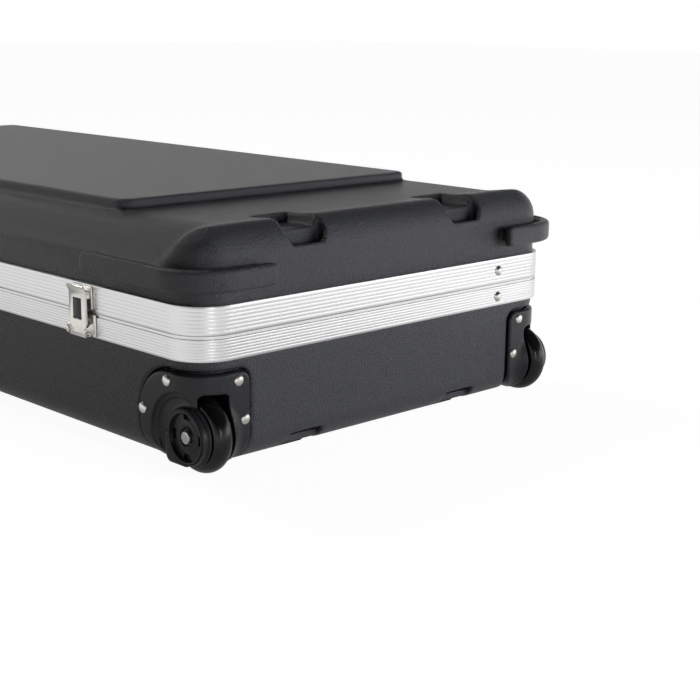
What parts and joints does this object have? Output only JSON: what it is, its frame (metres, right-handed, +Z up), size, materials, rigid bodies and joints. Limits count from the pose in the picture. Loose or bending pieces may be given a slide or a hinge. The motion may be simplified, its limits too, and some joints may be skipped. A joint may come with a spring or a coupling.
{
  "type": "keyboard case",
  "caption": "Long rigid keyboard case with an aluminium band round the seam, corner wheels, hinged lid, latches and drop handles.",
  "frame": {"origin": "on the floor, under the middle of the case's overall box", "axes": "+Z up, +X along the case towards the wheels, +Y towards the hinge side; the latches face -Y"},
  "size_m": [1.144, 0.486, 0.216],
  "materials": {
    "shell": "fine pebble grain, semi-matt",
    "housing": "satin moulded",
    "tyre": "glossy polyurethane",
    "hub": "satin",
    "foam": "closed-cell foam with a short nap",
    "rubber": "matt",
    "grip": "soft-touch",
    "aluminium": "satin anodised, fine extruded ridges",
    "nickel": "bright nickel plate",
    "steel": "brushed"
  },
  "bodies": {
    "root": {"base_shell": "shell", "base_valance": "aluminium", "base_foam_tray": "foam", "foam_block_left": "foam", "foam_block_right": "foam", "foot_left_front": "rubber", "foot_left_rear": "rubber", "foot_wheel_end_front": "rubber", "foot_wheel_end_rear": "rubber", "wheel_housing_front": "housing", "wheel_housing_rear": "housing", "wheel_rivets_front": "nickel", "wheel_rivets_rear": "nickel", "wheel_axle_front": "steel", "wheel_axle_rear": "steel", "hinge_leaf_base": "nickel", "hinge_pin": "steel", "stay_rivet_base_left": "nickel", "stay_rivet_base_wheel_end": "nickel", "carry_handle_bracket_a": "housing", "carry_handle_bracket_b": "housing", "pull_handle_bracket_a": "housing", "pull_handle_bracket_b": "housing", "latch_body_1": "nickel", "latch_body_2": "nickel", "latch_body_3": "nickel", "latch_body_4": "nickel"},
    "lid": {"lid_shell": "shell", "lid_valance": "aluminium", "lid_gasket": "rubber", "lid_foam_pad": "foam", "hinge_leaf_lid": "nickel", "stay_rivet_lid_left": "nickel", "stay_rivet_lid_wheel_end": "nickel", "latch_strike_1": "nickel", "latch_strike_2": "nickel", "latch_strike_3": "nickel", "latch_strike_4": "nickel"},
    "wheel_front": {"wheel_tyre_front": "tyre", "wheel_hub_front": "hub"},
    "wheel_rear": {"wheel_tyre_rear": "tyre", "wheel_hub_rear": "hub"},
    "carry_grip": {"carry_handle_grip": "grip"},
    "pull_grip": {"pull_handle_grip": "grip"},
    "stay_base_left": {"stay_link_base_left": "nickel"},
    "stay_lid_left": {"stay_link_lid_left": "nickel"},
    "stay_base_wheel_end": {"stay_link_base_wheel_end": "nickel"},
    "stay_lid_wheel_end": {"stay_link_lid_wheel_end": "nickel"},
    "latch_1": {"latch_lever_1": "nickel"},
    "trigger_1": {"latch_trigger_1": "housing"},
    "latch_2": {"latch_lever_2": "nickel"},
    "trigger_2": {"latch_trigger_2": "housing"},
    "latch_3": {"latch_lever_3": "nickel"},
    "trigger_3": {"latch_trigger_3": "housing"},
    "latch_4": {"latch_lever_4": "nickel"},
    "trigger_4": {"latch_trigger_4": "housing"}
  },
  "joints": [
    {"name": "lid_hinge", "type": "hinge", "parent": "root", "child": "lid", "pos_m": [0, 0.2355, 0.12165], "axis": [-1, 0, 0], "range_deg": [0, 100]},
    {"name": "stay_base_left_pivot", "type": "hinge", "parent": "root", "child": "stay_base_left", "pos_m": [-0.5459, 0.148, 0.10865], "axis": [-1, 0, 0], "range_deg": [0, 100]},
    {"name": "stay_lid_left_pivot", "type": "hinge", "parent": "lid", "child": "stay_lid_left", "pos_m": [-0.5484, 0.148, 0.13465], "axis": [-1, 0, 0], "range_deg": [-100, 0]},
    {"name": "stay_base_wheel_end_pivot", "type": "hinge", "parent": "root", "child": "stay_base_wheel_end", "pos_m": [0.5459, 0.148, 0.10865], "axis": [-1, 0, 0], "range_deg": [0, 100]},
    {"name": "stay_lid_wheel_end_pivot", "type": "hinge", "parent": "lid", "child": "stay_lid_wheel_end", "pos_m": [0.5484, 0.148, 0.13465], "axis": [-1, 0, 0], "range_deg": [-100, 0]},
    {"name": "wheel_front_spin", "type": "hinge", "parent": "root", "child": "wheel_front", "pos_m": [0.5379, -0.2085, 0.0339], "axis": [0, 1, 0], "continuous": true},
    {"name": "wheel_rear_spin", "type": "hinge", "parent": "root", "child": "wheel_rear", "pos_m": [0.5379, 0.2085, 0.0339], "axis": [0, 1, 0], "continuous": true},
    {"name": "latch_1_swing", "type": "hinge", "parent": "root", "child": "latch_1", "pos_m": [-0.4, -0.2373, 0.1035], "axis": [1, 0, 0], "range_deg": [0, 170]},
    {"name": "trigger_1_press", "type": "hinge", "parent": "latch_1", "child": "trigger_1", "pos_m": [-0.4, -0.2373, 0.129], "axis": [-1, 0, 0], "range_deg": [0, 15], "stiffness_Nm_per_rad": 0.05},
    {"name": "latch_2_swing", "type": "hinge", "parent": "root", "child": "latch_2", "pos_m": [-0.19, -0.2373, 0.1035], "axis": [1, 0, 0], "range_deg": [0, 170]},
    {"name": "trigger_2_press", "type": "hinge", "parent": "latch_2", "child": "trigger_2", "pos_m": [-0.19, -0.2373, 0.129], "axis": [-1, 0, 0], "range_deg": [0, 15], "stiffness_Nm_per_rad": 0.05},
    {"name": "latch_3_swing", "type": "hinge", "parent": "root", "child": "latch_3", "pos_m": [0.19, -0.2373, 0.1035], "axis": [1, 0, 0], "range_deg": [0, 170]},
    {"name": "trigger_3_press", "type": "hinge", "parent": "latch_3", "child": "trigger_3", "pos_m": [0.19, -0.2373, 0.129], "axis": [-1, 0, 0], "range_deg": [0, 15], "stiffness_Nm_per_rad": 0.05},
    {"name": "latch_4_swing", "type": "hinge", "parent": "root", "child": "latch_4", "pos_m": [0.4, -0.2373, 0.1035], "axis": [1, 0, 0], "range_deg": [0, 170]},
    {"name": "trigger_4_press", "type": "hinge", "parent": "latch_4", "child": "trigger_4", "pos_m": [0.4, -0.2373, 0.129], "axis": [-1, 0, 0], "range_deg": [0, 15], "stiffness_Nm_per_rad": 0.05},
    {"name": "carry_handle_swing", "type": "hinge", "parent": "root", "child": "carry_grip", "pos_m": [0, -0.235, 0.084], "axis": [-1, 0, 0], "range_deg": [0, 110]},
    {"name": "pull_handle_swing", "type": "hinge", "parent": "root", "child": "pull_grip", "pos_m": [-0.564, 0, 0.084], "axis": [0, 1, 0], "range_deg": [0, 110]}
  ],
  "couplings": [
    {"joint": "stay_base_left_pivot", "follows": "lid_hinge", "ratio": 1},
    {"joint": "stay_lid_left_pivot", "follows": "lid_hinge", "ratio": -1},
    {"joint": "stay_base_wheel_end_pivot", "follows": "lid_hinge", "ratio": 1},
    {"joint": "stay_lid_wheel_end_pivot", "follows": "lid_hinge", "ratio": -1}
  ]
}
